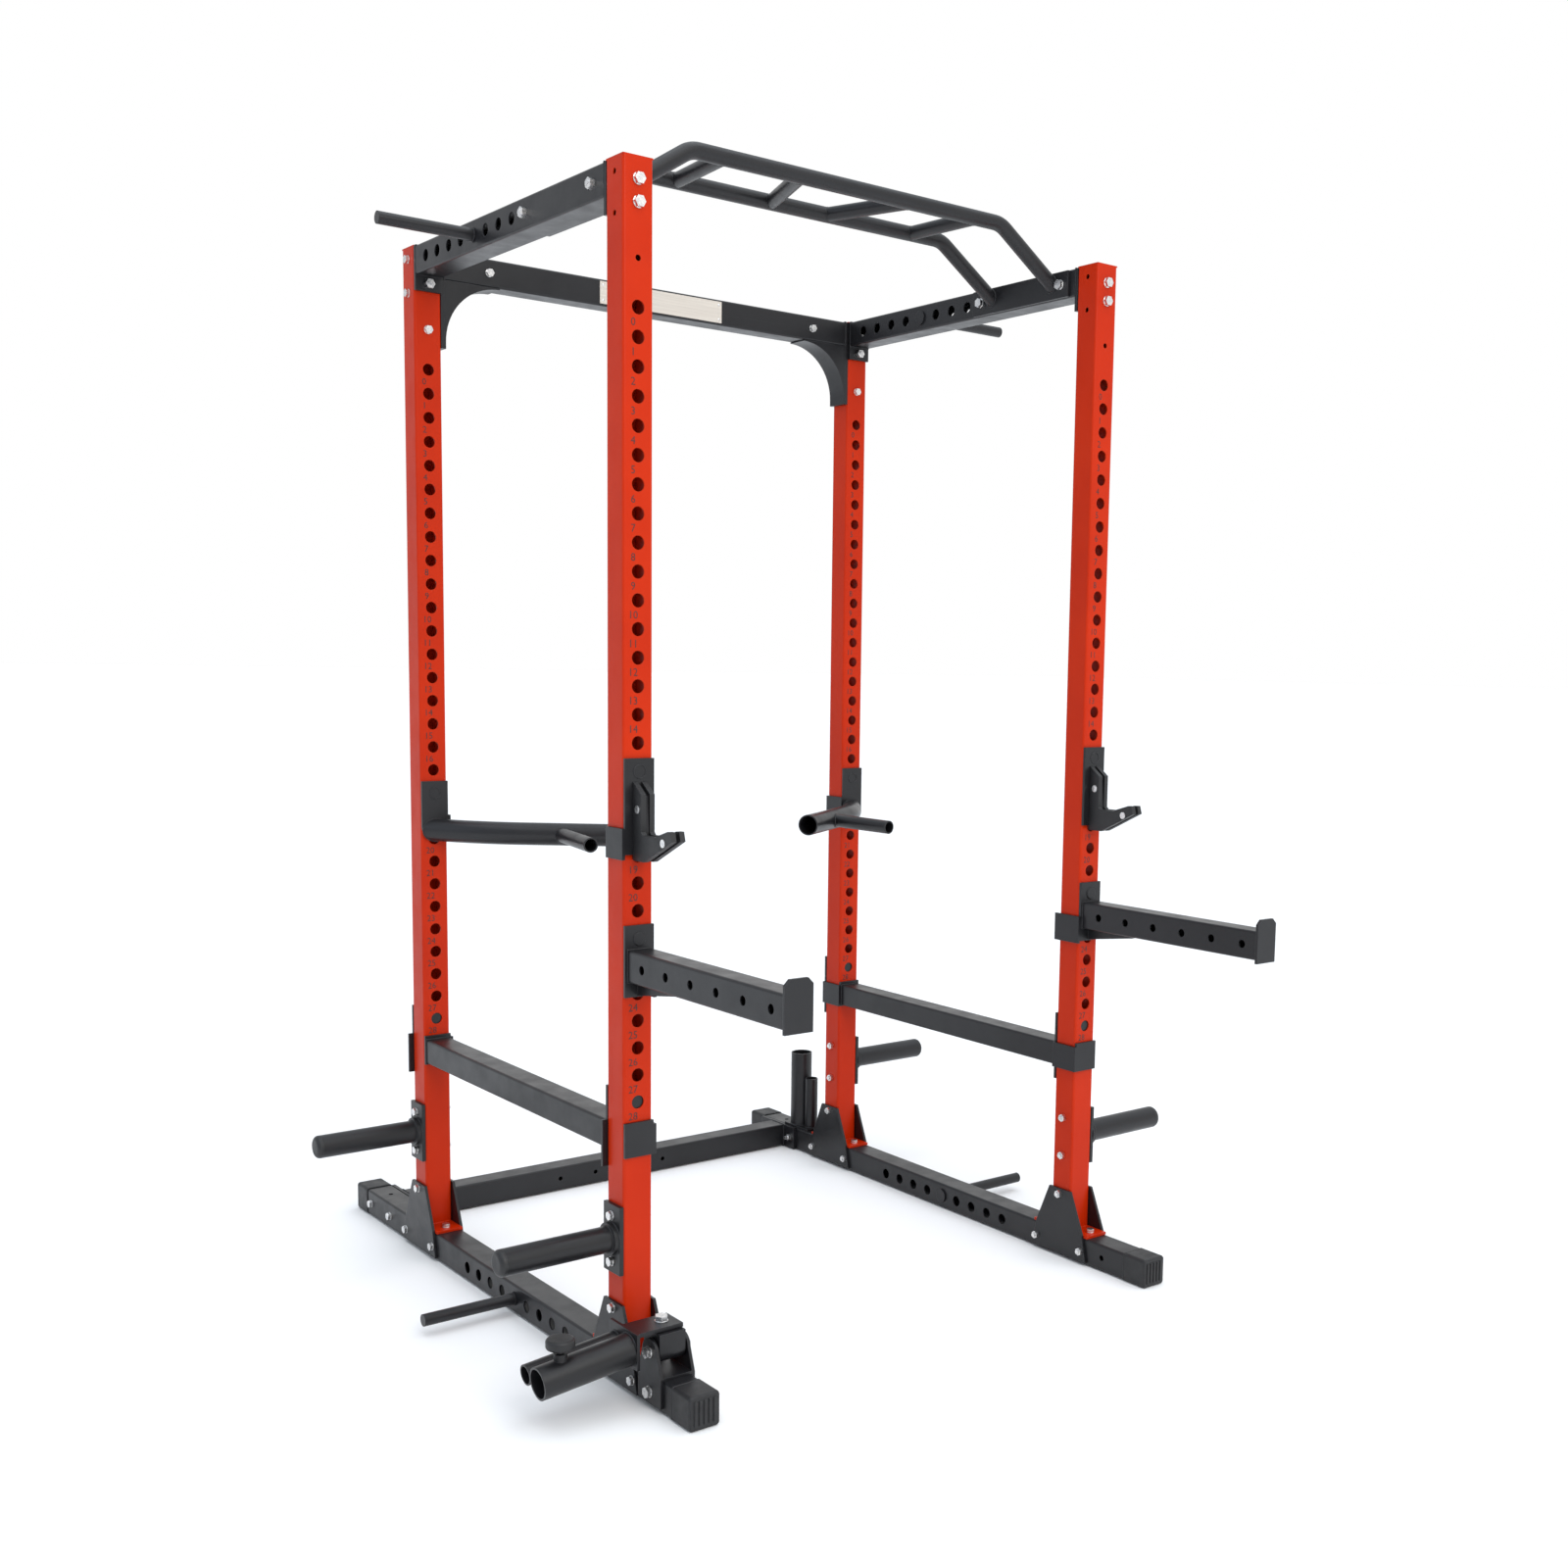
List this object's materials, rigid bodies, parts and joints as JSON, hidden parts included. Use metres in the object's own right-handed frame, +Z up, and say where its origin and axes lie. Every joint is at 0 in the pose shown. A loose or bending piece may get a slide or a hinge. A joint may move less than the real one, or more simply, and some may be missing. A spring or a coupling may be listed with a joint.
{
  "type": "power cage",
  "caption": "Free-standing power cage with drilled square uprights, base and top beams, a multi-grip pull-up bar, plate pegs and pinned swing-out hooks, arms and handles.",
  "frame": {"origin": "centre of the footprint of the whole object, on the floor", "axes": "+X to the right and +Y to the back, seen from the front; +Z up"},
  "size_m": [1.7, 1.811, 2.313],
  "materials": {
    "red_paint": "satin powder coat, orange red",
    "black_paint": "textured satin black powder coat",
    "zinc": "bright zinc plate",
    "black_plastic": "matte moulded",
    "blank_badge": "plain pale plate, left blank"
  },
  "bodies": {
    "rack": {"band_pegs": "black_paint", "bar_holder_plate": "black_paint", "bar_holder_short_tube": "black_paint", "bar_holder_tall_tube": "black_paint", "base_bolts": "zinc", "base_end_boots": "black_plastic", "blank_badge_plate": "blank_badge", "corner_gussets": "black_paint", "foot_gussets": "black_paint", "foot_tab_bolts": "zinc", "front_left_upright": "red_paint", "front_right_upright": "red_paint", "landmine_bracket": "black_paint", "landmine_pivot_bolt": "zinc", "large_nuts": "zinc", "left_base_beam": "black_paint", "left_top_beam": "black_paint", "plate_peg_bolts": "zinc", "plate_peg_plugs": "black_plastic", "plate_pegs": "black_paint", "pullup_bolts": "zinc", "pullup_front_tube": "black_paint", "pullup_grips": "black_paint", "pullup_mount_plates": "black_paint", "pullup_rear_tube": "black_paint", "rear_base_crossbeam": "black_paint", "rear_beam_bolts": "zinc", "rear_left_upright": "red_paint", "rear_right_upright": "red_paint", "rear_top_crossbeam": "black_paint", "right_base_beam": "black_paint", "right_top_beam": "black_paint", "small_nuts": "zinc", "top_frame_bolts": "zinc", "upright_foot_plates": "red_paint"},
    "left_jhook": {"left_jhook_bracket": "black_paint", "left_jhook_cheeks": "black_plastic", "left_jhook_rivets": "zinc"},
    "right_jhook": {"right_jhook_bracket": "black_paint", "right_jhook_cheeks": "black_plastic", "right_jhook_rivets": "zinc"},
    "left_spotter": {"left_spotter_arm": "black_paint", "left_spotter_bracket": "black_paint", "left_spotter_end_plate": "black_paint"},
    "right_spotter": {"right_spotter_arm": "black_paint", "right_spotter_bracket": "black_paint", "right_spotter_end_plate": "black_paint"},
    "left_dip_handle": {"left_dip_bracket": "black_paint", "left_dip_tubes": "black_paint"},
    "right_dip_handle": {"right_dip_bracket": "black_paint", "right_dip_tubes": "black_paint"},
    "left_safety": {"left_safety_saddles": "black_paint", "left_safety_tube": "black_paint"},
    "right_safety": {"right_safety_saddles": "black_paint", "right_safety_tube": "black_paint"},
    "landmine_pivot_block": {"landmine_rocker": "black_paint", "landmine_swivel_bolt": "zinc"},
    "landmine_head": {"landmine_swivel_head": "black_paint"},
    "landmine_knob": {"landmine_knob": "black_plastic"}
  },
  "joints": [
    {"name": "left_jhook_swing", "type": "hinge", "parent": "rack", "child": "left_jhook", "pos_m": [-0.58, -0.4, 1.1512], "axis": [0, 1, 0], "range_deg": [0, 90]},
    {"name": "left_spotter_swing", "type": "hinge", "parent": "rack", "child": "left_spotter", "pos_m": [-0.58, -0.4, 0.8464], "axis": [0, -1, 0], "range_deg": [0, 90]},
    {"name": "left_dip_swing", "type": "hinge", "parent": "rack", "child": "left_dip_handle", "pos_m": [-0.58, 0.49, 1.0496], "axis": [0, -1, 0], "range_deg": [0, 90]},
    {"name": "left_safety_swing", "type": "hinge", "parent": "rack", "child": "left_safety", "pos_m": [-0.58, 0.075, 0.5416], "axis": [0, -1, 0], "range_deg": [0, 90]},
    {"name": "right_jhook_swing", "type": "hinge", "parent": "rack", "child": "right_jhook", "pos_m": [0.58, -0.4, 1.1512], "axis": [0, -1, 0], "range_deg": [0, 90]},
    {"name": "right_spotter_swing", "type": "hinge", "parent": "rack", "child": "right_spotter", "pos_m": [0.58, -0.4, 0.8464], "axis": [0, 1, 0], "range_deg": [0, 90]},
    {"name": "right_dip_swing", "type": "hinge", "parent": "rack", "child": "right_dip_handle", "pos_m": [0.58, 0.49, 1.0496], "axis": [0, 1, 0], "range_deg": [0, 90]},
    {"name": "right_safety_swing", "type": "hinge", "parent": "rack", "child": "right_safety", "pos_m": [0.58, 0.075, 0.5416], "axis": [0, 1, 0], "range_deg": [0, 90]},
    {"name": "landmine_pitch", "type": "hinge", "parent": "rack", "child": "landmine_pivot_block", "pos_m": [-0.58, -0.503, 0.107], "axis": [-1, 0, 0], "range_deg": [0, 50]},
    {"name": "landmine_swivel", "type": "hinge", "parent": "landmine_pivot_block", "child": "landmine_head", "pos_m": [-0.58, -0.485, 0.147], "axis": [0, 0, 1], "range_deg": [0, 180]},
    {"name": "landmine_knob_turn", "type": "hinge", "parent": "landmine_head", "child": "landmine_knob", "pos_m": [-0.785, -0.487, 0.16], "axis": [0, 0, 1], "continuous": true}
  ]
}
